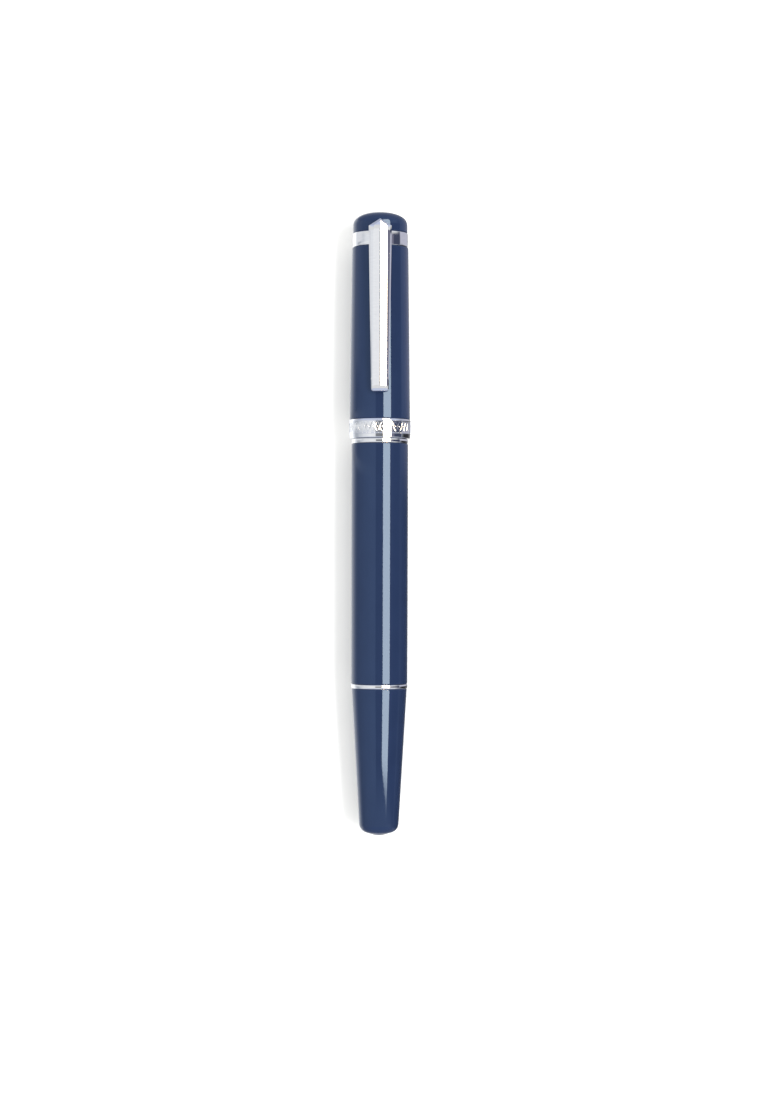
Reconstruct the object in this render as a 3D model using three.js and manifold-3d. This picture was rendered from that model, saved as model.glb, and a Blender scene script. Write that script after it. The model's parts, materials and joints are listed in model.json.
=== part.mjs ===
// A capped rollerball pen with a lacquered metal body, lying on its side with the clip on top.
//
// The pen's axis runs along Y, with the crown of the cap at +Y and the tail at -Y. Z is up, and the
// pen lies on the plane Z = 0. Every length along the pen is a station, in millimetres from the tail
// end, and the whole pen is moved at the end so that the origin is below its middle.
//
// The cap snaps on: a split ring, loose in a groove of the cap, grips a bead on the grip section. The
// section screws out of the barrel and brings the refill with it. A coil spring in the tail presses
// the refill forward, and the clip turns on a pin against a small leaf spring.

import * as THREE from "three";
import { mergeVertices } from "three/addons/utils/BufferGeometryUtils.js";
import Module from "manifold-3d";

const wasm = await Module();
wasm.setup();

// ---------------------------------------------------------------- driving dimensions, outside

// Lengths of the stacked outer pieces, from the tail end to the crown.
const tailLength = 32.64;
const tailRingWidth = 1;
const barrelLength = 53.43;
const frontRingWidth = 1.1;
const bandWidth = 4.25;
const capTubeLength = 38.38;
const clipRingWidth = 3.22;
const crownHeight = 4.68;

// How the outside radii step from piece to piece.
const tailStep = 0.06;
const tailRingProud = 0.04;
const barrelRearTaper = 0.04;
const barrelSwell = 0.04;
const frontRingStep = 0.03;
const bandStep = 0.03;
const bandLipFall = 0.3;
const friezeHeight = 0.12;
const capFlare = 0.44;
const clipRingStep = 0.12;
const crownStep = 0.1;

// The ends, each with a small flat at its tip: the tail's rounded corner and slight rise, and the
// crown's dome.
const tailCorner = 2.1;
const tailRise = 0.5;
const crownDomeHeight = 2.95;
const endFlatRadius = 1;

// Softened edges: of the lacquered pieces and the band, of the trim rings, and round the tail's top.
const softEdge = 0.12;
const ringEdge = 0.16;
const tailTopEdge = 0.15;

// The band's frieze, a raised field that carries the ornament, and its sloping lip.
const friezeFrom = 1.3;
const friezeTo = 3.75;
const bandLipHeight = 0.9;

// The clip: a gabled bar that narrows towards its tip.
const clipTopWidth = 5.1;
const clipTipWidth = 3.9;
const clipTipAboveBand = 5.75;
const clipChevronHeight = 1.6;
const clipAboveRing = 2.25;
const clipGap = 0.95;
const clipThickness = 1.15;
const clipRoofSlope = THREE.MathUtils.degToRad(11);
const clipEdgeChamfer = 0.4;
const clipTipCorner = 0.7;
const clipTipFall = 0.55;
const clipPadLength = 3;
const clipPadGap = 0.1;
const clipPadToe = 0.6;
const clipTopFall = 0.35;
const clipTipSlopeFrom = 1.6;
const clipTipSlopeTo = 0.5;

// ---------------------------------------------------------------- driving dimensions, inside

// Gaps: between pieces pressed or screwed together, between pieces that move, and between end faces.
const fitGap = 0.08;
const runGap = 0.1;
const faceGap = 0.02;
const bottomGap = 0.1;

// Walls of the lacquered tubes, the bushes, and the cap's inner liner.
const tailEndWall = 0.95;
const barrelWall = 0.6;
const frontBushWall = 0.37;
const rearNeckWall = 1.45;
const capWall = 0.6;
const linerWall = 0.55;
const linerEndWall = 0.8;
const linerGap = 0.35;
const linerNeck = 6;
const capShoulder = 1.2;

// The refill, a cartridge with a stepped nose and a steel tip. Its length is what the spring leaves.
const refillRadius = 3.15;
const refillWall = 0.4;
const refillPlugLength = 3.2;
const refillPlugFlange = 1;
const refillNoseLength = 10.5;
const refillNoseRadius = 2;
const refillNoseCone = 2.4;
const refillNosePlug = 4;
const tipLength = 6.1;
const tipRadius = 1.15;
const tipCone = 3.4;
const ballRadius = 0.35;
const tipSeat = 1.4;
const ballShowing = 0.2;
const ballPlay = 0.05;
const inkBore = 0.2;
const wickRadius = 0.4;
const wickInReservoir = 6;
const reservoirGap = 0.4;
const tipMouthRadius = 0.5;

// The grip section and what holds it.
const tipRoom = 5.73;
const tipBeyondNose = 0.95;
const noseLength = 5.4;
const noseMouthRadius = 1.5;
const noseMouthLip = 0.5;
const noseSpigotLength = 3;
const noseSeatGap = 0.25;
const noseShoulderRadius = 3.5;
const noseStep = 0.25;
const gripShell = 0.15;
const gripWall = 0.85;
const beadHeight = 0.05;
const beadWidth = 1;
const beadRamp = 0.4;
const grooveDepth = 0.03;
const waistRun = 4;
const collarWall = 1;
const collarLength = 3;
const threadLength = 5.2;
const tenonReach = 7;
const tenonWall = 1.05;
const refillGap = 0.3;
const sealThickness = 0.3;
const sealRecessGap = 0.25;

// The bushes inside the barrel's two ends.
const frontBushLength = 9;
const rearBushLength = 16;
const rearBushInTail = 7.5;

// The split ring that holds the cap on, and its groove.
const clutchWidth = 2.1;
const clutchFreeGap = 1.4;
const clutchGrooveGap = 0.15;
const bandNeckLength = 3;
const bandNeckGap = 0.13;

// The refill's spring and its seat.
const springWire = 0.3;
const springCoilRadius = 2.2;
const springTurns = 5.5;
const springRoom = 8.15;
const seatThickness = 0.8;
const seatSpigot = 1.2;
const tailBoreDepthLeft = 4.4;

// The stud that clamps crown, clip ring, cap tube and liner, and the clip's pivot.
const studRadius = 1.45;
const studInCrown = 2.4;
const studInLiner = 1.3;
const linerBossRadius = 2.4;
const pivotRadius = 0.45;
const pivotDepth = 1.65;
const pinSunk = 0.2;
const tabWidth = 2.4;
const tabWall = 0.27;
const tabDepth = 3;
const leafThickness = 0.15;
const leafBumpFrom = 0.65;
const leafBumpTo = 0.9;
const leafSideGap = 0.2;

// Sides of the round pieces: outer shells and inner pieces.
const shellSides = 40;
const innerSides = 28;
const smallSides = 16;

// ---------------------------------------------------------------- stations along the pen

const tailTop = tailLength;
const barrelBottom = tailTop + tailRingWidth;
const barrelTop = barrelBottom + barrelLength;
const capLip = barrelTop + frontRingWidth;
const bandTop = capLip + bandWidth;
const capTubeTop = bandTop + capTubeLength;
const clipRingTop = capTubeTop + clipRingWidth;
const penLength = clipRingTop + crownHeight;

const bandNeckTop = bandTop + bandNeckLength;
const clutchBottom = bandNeckTop + clutchGrooveGap;
const clutchTop = clutchBottom + clutchWidth;
const linerMouth = clutchTop + clutchGrooveGap;
const linerEnd = capTubeTop - capShoulder - faceGap;
const linerEndInside = linerEnd - linerEndWall;
const bossTop = capTubeTop - bottomGap;

const ballTip = linerEndInside - tipRoom;
const noseTip = ballTip - tipBeyondNose;
const noseBase = noseTip - noseLength;
const refillRear = tailBoreDepthLeft + springRoom;
const tipFront = ballTip - ballShowing;
const tipRear = tipFront - tipLength;
const refillNoseFront = tipRear + tipSeat;
const refillStep = refillNoseFront - refillNoseLength;

// ---------------------------------------------------------------- radii that follow from the fits

const refillBore = refillRadius + refillGap;
const tailEndRadius = refillBore + tailEndWall;
const rearNeckRadius = refillBore + rearNeckWall;
const tailSocketRadius = rearNeckRadius + fitGap;
const threadRadius = refillBore + tenonWall;
const threadBore = threadRadius + fitGap;
const sealRadius = threadRadius + runGap / 2 + sealThickness;
const sealBore = sealRadius + sealThickness + runGap;
const frontBushRadius = sealBore + frontBushWall;
const barrelBore = frontBushRadius + fitGap;
const barrelFrontRadius = barrelBore + barrelWall;
const barrelMiddleRadius = barrelFrontRadius + barrelSwell;
const barrelRearRadius = barrelFrontRadius - barrelRearTaper;
const frontRingRadius = barrelFrontRadius - frontRingStep;
const tailRingRadius = barrelRearRadius + tailRingProud;
const tailTopRadius = barrelRearRadius - tailStep;

const collarRadius = threadRadius + collarWall;
const gripRearRadius = threadRadius + gripShell;
const gripWaistRadius = refillBore + gripWall;
const beadRadius = gripRearRadius + beadHeight;
const noseBaseRadius = gripWaistRadius - noseStep;

const linerBore = beadRadius + linerGap;
const linerRadius = linerBore + linerWall;
const capTopBore = linerRadius + fitGap;
const capTopRadius = capTopBore + capWall;
const capLipRadius = capTopRadius + capFlare;
const capLipBore = capLipRadius - capWall;
const bandRadius = capLipRadius + bandStep;
const bandLipRadius = bandRadius - bandLipFall;
const bandBore = collarRadius + runGap;
const bandNeckRadius = capLipBore - bandNeckGap;
const clutchRadius = bandNeckRadius - runGap;
const clutchBore = beadRadius + runGap;
const clipRingRadius = capTopRadius - clipRingStep;
const crownRadius = clipRingRadius - crownStep;
const studHole = studRadius + fitGap;
const bossHole = linerBossRadius + fitGap;

// ---------------------------------------------------------------- materials

function finish(color, roughness, metalness) {
  return new THREE.MeshStandardMaterial({ color, roughness, metalness });
}

const navyLacquer = finish(0x2c3c5c, 0.12, 0.1);
const chrome = finish(0xd9dbe0, 0.08, 1);
const brass = finish(0xb89a5a, 0.3, 1);
const steel = finish(0x9da1a6, 0.25, 1);
const blackPlastic = finish(0x15171b, 0.25, 0);
const greyPlastic = finish(0x5b6068, 0.35, 0);
const whitePlastic = finish(0xe4e4e0, 0.45, 0);
const inkFibre = finish(0x20305e, 0.9, 0);
const rubber = finish(0x101012, 0.7, 0);

// ---------------------------------------------------------------- shaping helpers

const pen = new THREE.Group();

function add(name, geometry, material) {
  const mesh = new THREE.Mesh(geometry, material);
  mesh.name = name;
  pen.add(mesh);
  return mesh;
}

// A round solid about the pen's axis. The outline is a list of [radius, station], which closes on
// itself unless it starts and ends on the axis. A flat side faces down.
function turned(outline, sides) {
  const points = outline.map(([r, y]) => new THREE.Vector2(r, y));
  const onAxis = points[0].x === 0 && points[points.length - 1].x === 0;
  if (THREE.ShapeUtils.area(points) < 0) points.reverse();
  if (!onAxis) points.push(points[0].clone());
  return new THREE.LatheGeometry(points, sides, Math.PI / sides);
}

// A tube with straight walls.
function tube(outer, inner, from, to, sides) {
  return turned([[inner, from], [outer, from], [outer, to], [inner, to]], sides);
}

// Points of a domed end whose base has this radius at station from, and whose flat tip lies at
// station to. They run from the base to the rim of the flat.
function dome(baseRadius, from, to, flatRadius, steps) {
  const lastAngle = Math.acos(flatRadius / baseRadius);
  const rise = (to - from) / Math.sin(lastAngle);
  return Array.from({ length: steps + 1 }, (_, i) => {
    const angle = (lastAngle * i) / steps;
    return [baseRadius * Math.cos(angle), from + rise * Math.sin(angle)];
  });
}

function solidOf(geometry) {
  const bare = geometry.index ? geometry.toNonIndexed() : geometry.clone();
  bare.deleteAttribute("normal");
  bare.deleteAttribute("uv");
  const merged = mergeVertices(bare, 1e-4);
  return new wasm.Manifold(new wasm.Mesh({
    numProp: 3,
    vertProperties: merged.attributes.position.array,
    triVerts: new Uint32Array(merged.index.array),
  }));
}

function geometryOf(solid) {
  const mesh = solid.getMesh();
  const geometry = new THREE.BufferGeometry();
  geometry.setAttribute("position", new THREE.BufferAttribute(mesh.vertProperties, 3));
  geometry.setIndex(new THREE.BufferAttribute(mesh.triVerts, 1));
  geometry.computeVertexNormals();
  return geometry;
}

function shapeOf(points) {
  return new THREE.Shape(points.map(([x, y]) => new THREE.Vector2(x, y)));
}

const X = new THREE.Vector3(1, 0, 0);
const Y = new THREE.Vector3(0, 1, 0);
const Z = new THREE.Vector3(0, 0, 1);

// A prism whose section is given as [station, height], centred on X = 0.
function prismAlongX(points, width) {
  const geometry = new THREE.ExtrudeGeometry(shapeOf(points), { depth: width, bevelEnabled: false });
  geometry.translate(0, 0, -width / 2);
  return geometry.applyMatrix4(new THREE.Matrix4().makeBasis(Y, Z, X));
}

// A prism whose section is given as [across, height], between two stations.
function prismAlongY(points, from, to) {
  const geometry = new THREE.ExtrudeGeometry(shapeOf(points), { depth: to - from, bevelEnabled: false });
  geometry.applyMatrix4(new THREE.Matrix4().makeBasis(X, Z, Y.clone().negate()));
  return geometry.translate(0, to, 0);
}

// A rod along X, at a station and a height.
function rodAlongX(radius, length, station, height) {
  const geometry = new THREE.CylinderGeometry(radius, radius, length, smallSides);
  return geometry.rotateZ(Math.PI / 2).translate(0, station, height);
}

function box(width, from, to, low, high) {
  const geometry = new THREE.BoxGeometry(width, to - from, high - low);
  return geometry.translate(0, (from + to) / 2, (low + high) / 2);
}

// ---------------------------------------------------------------- tail and barrel

// The outline of the tail's end, from the rim of its flat round the corner to the side.
function tailEnd() {
  const steps = 6;
  const lastAngle = THREE.MathUtils.degToRad(80);
  const centre = { r: tailEndRadius - tailCorner, y: tailRise + tailCorner };
  const corner = Array.from({ length: steps + 1 }, (_, i) => {
    const angle = lastAngle * (1 - i / steps);
    return [centre.r + tailCorner * Math.cos(angle), centre.y - tailCorner * Math.sin(angle)];
  });
  return [[endFlatRadius, 0], ...corner];
}

function tailCone() {
  const socketFrom = tailTop - rearBushInTail - bottomGap;
  const top = tailTop - faceGap;
  return turned([
    [0, 0],
    ...tailEnd(),
    [tailTopRadius - tailStep, top - tailTopEdge],
    [tailTopRadius - tailTopEdge, top],
    [tailSocketRadius, top],
    [tailSocketRadius, socketFrom],
    [refillBore, socketFrom],
    [refillBore, tailBoreDepthLeft],
    [0, tailBoreDepthLeft],
  ], shellSides);
}

// A trim ring with a softly rounded edge.
function trimRing(outer, inner, from, to) {
  return turned([
    [inner, from],
    [outer - ringEdge, from],
    [outer, from + ringEdge],
    [outer, to - ringEdge],
    [outer - ringEdge, to],
    [inner, to],
  ], shellSides);
}

function tailRing() {
  return trimRing(tailRingRadius, rearNeckRadius + fitGap, tailTop, barrelBottom - faceGap);
}

function barrelFrontRing() {
  return trimRing(frontRingRadius, frontBushRadius + fitGap, barrelTop, capLip - faceGap);
}

function barrelTube() {
  const top = barrelTop - faceGap;
  return turned([
    [barrelBore, barrelBottom],
    [barrelRearRadius - softEdge, barrelBottom],
    [barrelRearRadius, barrelBottom + softEdge],
    [barrelMiddleRadius, (barrelBottom + barrelTop) / 2],
    [barrelFrontRadius, top - softEdge],
    [barrelFrontRadius - softEdge, top],
    [barrelBore, top],
  ], shellSides);
}

// The threaded bush in the barrel's mouth, with a recess for the section's seal.
function frontBush() {
  const from = capLip - frontBushLength;
  const to = capLip - faceGap;
  const recessFrom = capLip - 2 * sealThickness - sealRecessGap;
  return turned([
    [threadBore, from],
    [frontBushRadius, from],
    [frontBushRadius, to],
    [sealBore, to],
    [sealBore, recessFrom],
    [threadBore, recessFrom],
  ], innerSides);
}

// The stepped bush that joins the barrel to the tail, through the tail ring.
function rearBush() {
  const neckFrom = tailTop - rearBushInTail;
  const shoulder = barrelBottom + faceGap;
  const to = barrelBottom + rearBushLength - rearBushInTail;
  return turned([
    [refillBore, neckFrom],
    [rearNeckRadius, neckFrom],
    [rearNeckRadius, shoulder],
    [frontBushRadius, shoulder],
    [frontBushRadius, to],
    [refillBore, to],
  ], innerSides);
}

// A cup in the bottom of the tail that centres the refill's spring.
function springSeat() {
  const from = tailBoreDepthLeft + faceGap;
  const spigotRadius = springCoilRadius - springWire - runGap;
  return turned([
    [0, from],
    [refillBore - fitGap, from],
    [refillBore - fitGap, from + seatThickness],
    [spigotRadius, from + seatThickness],
    [spigotRadius, from + seatThickness + seatSpigot],
    [0, from + seatThickness + seatSpigot],
  ], innerSides);
}

class Helix extends THREE.Curve {
  constructor(radius, from, to, turns) {
    super();
    Object.assign(this, { radius, from, to, turns });
  }

  getPoint(t, target = new THREE.Vector3()) {
    const angle = 2 * Math.PI * this.turns * t;
    const y = this.from + (this.to - this.from) * t;
    return target.set(this.radius * Math.sin(angle), y, this.radius * Math.cos(angle));
  }
}

function refillSpring() {
  const from = tailBoreDepthLeft + seatThickness + springWire + 2 * faceGap;
  const to = refillRear - springWire - 2 * faceGap;
  const path = new Helix(springCoilRadius, from, to, springTurns);
  const sides = 6;
  const section = Array.from({ length: sides }, (_, i) => {
    const angle = (2 * Math.PI * i) / sides;
    return [springWire * Math.cos(angle), springWire * Math.sin(angle)];
  });
  const stepsPerTurn = 12;
  return new THREE.ExtrudeGeometry(shapeOf(section), {
    steps: springTurns * stepsPerTurn,
    extrudePath: path,
    bevelEnabled: false,
  });
}

// ---------------------------------------------------------------- grip section

// The threaded tenon, which reaches into the grip.
function sectionTenon() {
  const from = capLip - threadLength;
  return tube(threadRadius, refillBore, from, capLip + tenonReach, innerSides);
}

// The ring that the cap's mouth closes over.
function sectionCollar() {
  return trimRing(collarRadius, threadRadius + fitGap, capLip + faceGap, capLip + collarLength);
}

function gripSection() {
  const rear = capLip + collarLength + faceGap;
  const grooveRadius = gripRearRadius - grooveDepth;
  const beadFrom = clutchTop + clutchGrooveGap;
  const beadTo = beadFrom + beadWidth;
  const socketTo = capLip + tenonReach + bottomGap;
  const waist = (beadTo + noseBase) / 2;
  const front = noseBase - faceGap;
  return turned([
    [threadRadius + fitGap / 2, rear],
    [gripRearRadius, rear],
    [gripRearRadius, clutchBottom - clutchGrooveGap],
    [grooveRadius, clutchBottom],
    [grooveRadius, beadFrom],
    [beadRadius, beadFrom + beadHeight],
    [beadRadius, beadTo],
    [gripRearRadius - grooveDepth, beadTo + beadRamp],
    [gripWaistRadius + grooveDepth, waist - waistRun],
    [gripWaistRadius, waist],
    [gripWaistRadius, front - beadWidth],
    [gripWaistRadius - noseStep / 2, front],
    [refillBore, front],
    [refillBore, socketTo],
    [threadRadius + fitGap / 2, socketTo],
  ], shellSides);
}

// The bright nose cone, whose inside seats the refill's cone.
function sectionNose() {
  const spigotRadius = refillBore - fitGap;
  const spigotFrom = noseBase - noseSpigotLength;
  const bore = refillNoseRadius + noseSeatGap;
  const mouthFrom = refillNoseFront + bottomGap;
  const coneFrom = refillNoseFront - refillNoseCone + 2 * noseSeatGap;
  const shoulder = noseBase + (noseTip - noseBase) / 2;
  return turned([
    [bore, spigotFrom],
    [spigotRadius, spigotFrom],
    [spigotRadius, noseBase],
    [noseBaseRadius, noseBase],
    [noseShoulderRadius, shoulder],
    [noseMouthRadius + noseMouthLip + noseStep, noseTip - noseStep],
    [noseMouthRadius + noseMouthLip, noseTip],
    [noseMouthRadius, noseTip],
    [noseMouthRadius, mouthFrom],
    [bore, coneFrom],
  ], shellSides);
}

// The rubber ring behind the collar, which travels with the section.
function sectionSeal() {
  const sides = 8;
  const centre = capLip - sealThickness - faceGap;
  const outline = Array.from({ length: sides }, (_, i) => {
    const angle = (2 * Math.PI * (i + 0.5)) / sides;
    return [sealRadius + sealThickness * Math.cos(angle), centre + sealThickness * Math.sin(angle)];
  });
  return turned(outline, innerSides);
}

// ---------------------------------------------------------------- refill

function refillTube() {
  const from = refillRear + refillPlugFlange + faceGap;
  return tube(refillRadius, refillRadius - refillWall, from, refillStep, innerSides);
}

function refillPlug() {
  const plugRadius = refillRadius - refillWall - fitGap;
  return turned([
    [0, refillRear],
    [refillRadius, refillRear],
    [refillRadius, refillRear + refillPlugFlange],
    [plugRadius, refillRear + refillPlugFlange],
    [plugRadius, refillRear + refillPlugLength],
    [0, refillRear + refillPlugLength],
  ], innerSides);
}

function inkReservoir() {
  const from = refillRear + refillPlugLength + reservoirGap;
  const to = refillStep - refillNosePlug - reservoirGap;
  return tube(refillRadius - refillWall - fitGap, wickRadius + fitGap, from, to, smallSides);
}

function feedWick() {
  const from = refillStep - refillNosePlug - wickInReservoir;
  const to = tipFront - tipCone / 2;
  return turned([[0, from], [wickRadius, from], [wickRadius, to], [0, to]], 8);
}

function refillNose() {
  const plugRadius = refillRadius - refillWall - fitGap;
  const wickHole = wickRadius + fitGap;
  const socket = tipRadius + fitGap;
  const shoulder = refillStep + refillPlugFlange;
  return turned([
    [wickHole, refillStep - refillNosePlug],
    [plugRadius, refillStep - refillNosePlug],
    [plugRadius, refillStep + faceGap],
    [refillRadius, refillStep + faceGap],
    [refillRadius, shoulder],
    [refillNoseRadius, shoulder + refillWall],
    [refillNoseRadius, refillNoseFront - refillNoseCone],
    [socket + refillWall / 2, refillNoseFront],
    [socket, refillNoseFront],
    [socket, tipRear - faceGap],
    [wickHole, tipRear - faceGap],
  ], innerSides);
}

// The steel tip, a tube with a cone that holds the ball in a cup at its mouth.
function refillTip() {
  const wickHole = wickRadius + fitGap;
  const wickEnd = tipFront - tipCone / 2;
  const cup = ballRadius + ballPlay;
  const cupBottom = ballTip - ballRadius - cup;
  return turned([
    [wickHole, tipRear],
    [tipRadius, tipRear],
    [tipRadius, tipFront - tipCone],
    [tipMouthRadius, tipFront],
    [cup, tipFront],
    [cup, cupBottom],
    [inkBore, cupBottom - inkBore],
    [inkBore, wickEnd + bottomGap],
    [wickHole, wickEnd + ballPlay],
  ], smallSides);
}

function writingBall() {
  const ball = new THREE.SphereGeometry(ballRadius, 12, 8);
  return ball.translate(0, ballTip - ballRadius, 0);
}

// ---------------------------------------------------------------- cap

// The split ring, loose in the groove between the band's neck and the liner's mouth.
function clutchRing() {
  const ring = solidOf(tube(clutchRadius, clutchBore, clutchBottom, clutchTop, innerSides));
  const cut = box(clutchFreeGap, clutchBottom - 1, clutchTop + 1, -clutchRadius - 1, 0);
  return geometryOf(ring.subtract(solidOf(cut)));
}

function capBand() {
  const raised = bandRadius + friezeHeight;
  const lip = capLip + faceGap;
  return turned([
    [bandBore, lip],
    [bandLipRadius - softEdge, lip],
    [bandLipRadius, lip + softEdge],
    [bandRadius, capLip + bandLipHeight],
    [bandRadius, capLip + friezeFrom],
    [raised, capLip + friezeFrom + friezeHeight],
    [raised, capLip + friezeTo - friezeHeight],
    [bandRadius, capLip + friezeTo],
    [bandRadius, bandTop - softEdge],
    [bandRadius - softEdge, bandTop],
    [bandNeckRadius, bandTop],
    [bandNeckRadius, bandNeckTop],
    [bandBore, bandNeckTop],
  ], shellSides);
}

// The radius of the cap tube's outside at a station.
function capTubeRadius(station) {
  const share = (station - bandTop) / capTubeLength;
  return capLipRadius + (capTopRadius - capLipRadius) * share;
}

function capTube() {
  const bottom = bandTop + faceGap;
  const top = capTubeTop - faceGap;
  const shoulder = capTubeTop - capShoulder;
  return turned([
    [capLipBore, bottom],
    [capTubeRadius(bandTop) - softEdge, bottom],
    [capTubeRadius(bandTop), bottom + softEdge],
    [capTubeRadius(capTubeTop), top - softEdge],
    [capTubeRadius(capTubeTop) - softEdge, top],
    [bossHole, top],
    [bossHole, shoulder],
    [capTopBore, shoulder],
    [capTopBore, shoulder - linerNeck],
    [capLipBore, linerMouth],
  ], shellSides);
}

// The plastic liner that closes over the nose so that the tip doesn't dry, with a threaded boss.
function innerCap() {
  const threadFrom = bossTop - studInLiner;
  return turned([
    [linerBore, linerMouth],
    [linerRadius, linerMouth],
    [linerRadius, linerEnd],
    [linerBossRadius, linerEnd],
    [linerBossRadius, bossTop],
    [studHole, bossTop],
    [studHole, threadFrom],
    [0, threadFrom],
    [0, linerEndInside],
    [linerBore, linerEndInside],
  ], innerSides);
}

function crown() {
  const domeFrom = penLength - crownDomeHeight;
  const holeTo = clipRingTop + studInCrown + bottomGap;
  return turned([
    [0, penLength],
    ...dome(crownRadius, domeFrom, penLength, endFlatRadius, 8).reverse(),
    [crownRadius, clipRingTop + softEdge],
    [crownRadius - softEdge, clipRingTop],
    [studHole, clipRingTop],
    [studHole, holeTo],
    [0, holeTo],
  ], shellSides);
}

function crownStud() {
  const from = bossTop - studInLiner + faceGap;
  const to = clipRingTop + studInCrown;
  return turned([[0, from], [studRadius, from], [studRadius, to], [0, to]], smallSides);
}

const pivotHeight = clipRingRadius - pivotDepth;
const pivotStation = capTubeTop + clipRingWidth / 2;
const tabThickness = 2 * (pivotRadius + fitGap + tabWall);

// The carrier ring, slotted for the clip's tab and drilled across for its pin.
function clipRing() {
  const ring = solidOf(trimRing(clipRingRadius, studHole, capTubeTop, clipRingTop - faceGap));
  const slotFloor = pivotHeight - tabDepth / 2 - runGap;
  const slotWidth = tabWidth + 2 * runGap;
  const slot = box(slotWidth, capTubeTop - 1, clipRingTop + 1, slotFloor, clipRingRadius + 1);
  const hole = rodAlongX(pivotRadius + fitGap, 3 * clipRingRadius, pivotStation, pivotHeight);
  return geometryOf(ring.subtract(solidOf(slot)).subtract(solidOf(hole)));
}

function clipPin() {
  const chord = Math.sqrt(clipRingRadius ** 2 - pivotHeight ** 2);
  return rodAlongX(pivotRadius, 2 * (chord - pinSunk), pivotStation, pivotHeight);
}

// A leaf that stands on the cap tube's top and presses on the clip's tab with its bump.
function clipSpring() {
  const back = capTubeTop + faceGap;
  const front = back + leafThickness;
  const foot = pivotHeight - tabDepth / 2;
  const head = pivotHeight + pivotRadius;
  const bump = pivotStation - tabThickness / 2 - runGap;
  return prismAlongX([
    [back, head],
    [back, foot],
    [front, foot],
    [bump, foot + leafBumpFrom],
    [bump, foot + leafBumpTo],
    [front, foot + leafBumpFrom + leafBumpTo],
    [front, head],
  ], tabWidth - 2 * leafSideGap);
}

const clipApex = clipRingTop + clipAboveRing;
const clipTip = bandTop + clipTipAboveBand;
const clipUnderside = clipRingRadius + clipGap;
const clipRidge = clipUnderside + clipThickness + (clipTopWidth / 2) * Math.tan(clipRoofSlope);

// The clip's outline seen from above: a bar with a chevron at the top and rounded tip corners.
function clipPlan() {
  const shoulder = clipApex - clipChevronHeight;
  const corner = Array.from({ length: 5 }, (_, i) => {
    const angle = (Math.PI / 2) * (i / 4);
    const reach = 1 - Math.cos(angle);
    const rise = 1 - Math.sin(angle);
    return [clipTipWidth / 2 - clipTipCorner * reach, clipTip + clipTipCorner * rise];
  });
  const right = [[0, clipApex], [clipTopWidth / 2, shoulder], ...corner];
  const left = right.slice(1).reverse().map(([x, y]) => [-x, y]);
  return [...right, ...left].reverse();
}

// The clip's section: two roof slopes that meet in a ridge, with chamfered edges.
function clipRoof() {
  const half = clipTopWidth / 2;
  const slope = Math.tan(clipRoofSlope);
  const eaves = clipRidge - half * slope;
  const breakAt = half - clipEdgeChamfer;
  return [
    [-half, clipUnderside - clipGap],
    [half, clipUnderside - clipGap],
    [half, eaves - clipEdgeChamfer],
    [breakAt, clipRidge - breakAt * slope],
    [0, clipRidge],
    [-breakAt, clipRidge - breakAt * slope],
    [-half, eaves - clipEdgeChamfer],
  ];
}

// The clip seen from the side: level, falling at the tip, with a pad that meets the cap.
function clipSide() {
  const padTo = clipTip + clipPadLength;
  const padHeight = capTubeRadius(clipTip + clipPadLength / 2) + clipPadGap;
  return [
    [clipTip, padHeight + clipPadToe / 2],
    [clipTip + clipPadToe, padHeight],
    [padTo - clipPadToe, padHeight],
    [padTo, clipUnderside],
    [clipApex, clipUnderside],
    [clipApex, clipRidge - clipTopFall],
    [clipApex - clipChevronHeight, clipRidge],
    [clipTip + clipTipSlopeFrom, clipRidge],
    [clipTip + clipTipSlopeTo, clipRidge - clipTipFall / 2],
    [clipTip, clipRidge - clipTipFall],
  ];
}

// The sprung clip, with the tab that hangs from its pin.
function clip() {
  const margin = 1;
  const depth = clipRidge - clipRingRadius + 2 * margin;
  const plate = new THREE.ExtrudeGeometry(shapeOf(clipPlan()), { depth, bevelEnabled: false });
  plate.translate(0, 0, clipRingRadius - margin);
  const roof = prismAlongY(clipRoof(), clipTip - margin, clipApex + margin);
  const side = prismAlongX(clipSide(), clipTopWidth + 2 * margin);
  const bar = solidOf(plate).intersect(solidOf(roof)).intersect(solidOf(side));
  const half = tabThickness / 2;
  const tabFoot = pivotHeight - tabDepth / 2;
  const tabHead = clipUnderside + clipThickness / 3;
  const tab = box(tabWidth, pivotStation - half, pivotStation + half, tabFoot, tabHead);
  const hole = rodAlongX(pivotRadius + fitGap, tabWidth + 2, pivotStation, pivotHeight);
  return geometryOf(bar.add(solidOf(tab)).subtract(solidOf(hole)));
}

// ---------------------------------------------------------------- the assembled pen

add("tail_cone", tailCone(), navyLacquer);
add("tail_ring", tailRing(), chrome);
add("barrel_tube", barrelTube(), navyLacquer);
add("barrel_front_ring", barrelFrontRing(), chrome);
add("front_bush", frontBush(), brass);
add("rear_bush", rearBush(), brass);
add("spring_seat", springSeat(), greyPlastic);
add("refill_spring", refillSpring(), steel);

add("section_seal", sectionSeal(), rubber);
add("section_tenon", sectionTenon(), brass);
add("section_collar", sectionCollar(), chrome);
add("grip_section", gripSection(), blackPlastic);
add("section_nose", sectionNose(), chrome);

add("refill_tube", refillTube(), whitePlastic);
add("refill_plug", refillPlug(), greyPlastic);
add("ink_reservoir", inkReservoir(), inkFibre);
add("feed_wick", feedWick(), inkFibre);
add("refill_nose", refillNose(), greyPlastic);
add("refill_tip", refillTip(), steel);
add("writing_ball", writingBall(), steel);

add("clutch_ring", clutchRing(), steel);
add("cap_band", capBand(), chrome);
add("cap_tube", capTube(), navyLacquer);
add("inner_cap", innerCap(), blackPlastic);
add("clip_ring", clipRing(), chrome);
add("clip_pin", clipPin(), steel);
add("clip_spring", clipSpring(), steel);
add("crown_stud", crownStud(), brass);
add("crown", crown(), navyLacquer);
add("clip", clip(), chrome);

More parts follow.
